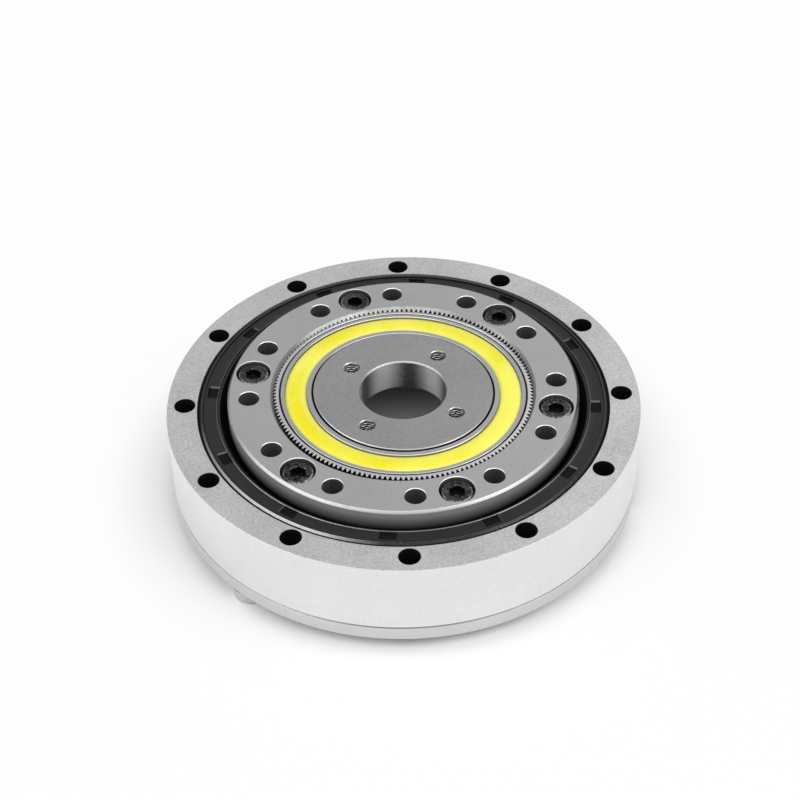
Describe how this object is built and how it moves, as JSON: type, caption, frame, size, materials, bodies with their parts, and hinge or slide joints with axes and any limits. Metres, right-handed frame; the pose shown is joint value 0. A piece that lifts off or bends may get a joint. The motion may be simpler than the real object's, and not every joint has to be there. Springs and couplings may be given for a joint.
{
  "type": "strain wave gear",
  "caption": "Flat round strain wave gear unit: hat-type flexspline, toothed output ring on a crossed-roller bearing and an oval wave generator with a through bore.",
  "frame": {"origin": "centre of the outer ring's front face, on the shared axis, in the plane of the housing bolt holes' front ends", "axes": "+Z along the shared axis towards the input side, where the circular spline and the wave generator are seen; +X through one housing bolt hole"},
  "size_m": [0.08, 0.08, 0.0209],
  "materials": {
    "ring_steel": "ground, satin",
    "spline_iron": "fine machined, satin",
    "flexspline_steel": "turned, satin",
    "plug_steel": "fine turned, satin",
    "bearing_steel": "polished",
    "cage_plastic": "smooth, greased",
    "spacer_plastic": "moulded",
    "seal_rubber": "matte moulded",
    "black_screw": "black oxide, knurled heads",
    "plated_screw": "zinc plated",
    "spring_steel": "drawn wire"
  },
  "bodies": {
    "housing": {"outer_ring": "ring_steel", "filling_plug": "ring_steel", "plug_pin": "bearing_steel", "flange_o_ring": "seal_rubber", "oil_seal": "seal_rubber", "seal_case": "spring_steel", "garter_spring": "spring_steel", "flexspline": "flexspline_steel", "flange_screws": "plated_screw", "bearing_outer_race": "bearing_steel"},
    "output": {"circular_spline": "spline_iron", "inner_ring": "bearing_steel", "spline_screws": "black_screw"},
    "roller_set": {"rollers_tilted_out": "bearing_steel", "rollers_tilted_in": "bearing_steel", "roller_spacers": "spacer_plastic"},
    "wave_generator": {"wave_plug": "plug_steel", "bearing_inner_race": "bearing_steel"},
    "ball_set": {"bearing_balls": "bearing_steel", "ball_cage": "cage_plastic"}
  },
  "joints": [
    {"name": "wave_generator_spin", "type": "hinge", "parent": "housing", "child": "wave_generator", "pos_m": [0, 0, 0], "axis": [0, 0, 1], "continuous": true, "deforming": ["flexspline", "bearing_outer_race", "bearing_balls", "ball_cage"]},
    {"name": "output_spin", "type": "hinge", "parent": "housing", "child": "output", "pos_m": [0, 0, 0], "axis": [0, 0, 1], "continuous": true},
    {"name": "roller_set_spin", "type": "hinge", "parent": "housing", "child": "roller_set", "pos_m": [0, 0, 0], "axis": [0, 0, 1], "continuous": true},
    {"name": "ball_set_spin", "type": "hinge", "parent": "housing", "child": "ball_set", "pos_m": [0, 0, 0], "axis": [0, 0, 1], "continuous": true}
  ],
  "couplings": [
    {"joint": "output_spin", "follows": "wave_generator_spin", "ratio": 0.012346},
    {"joint": "roller_set_spin", "follows": "wave_generator_spin", "ratio": 0.005894},
    {"joint": "ball_set_spin", "follows": "wave_generator_spin", "ratio": 0.4453}
  ]
}
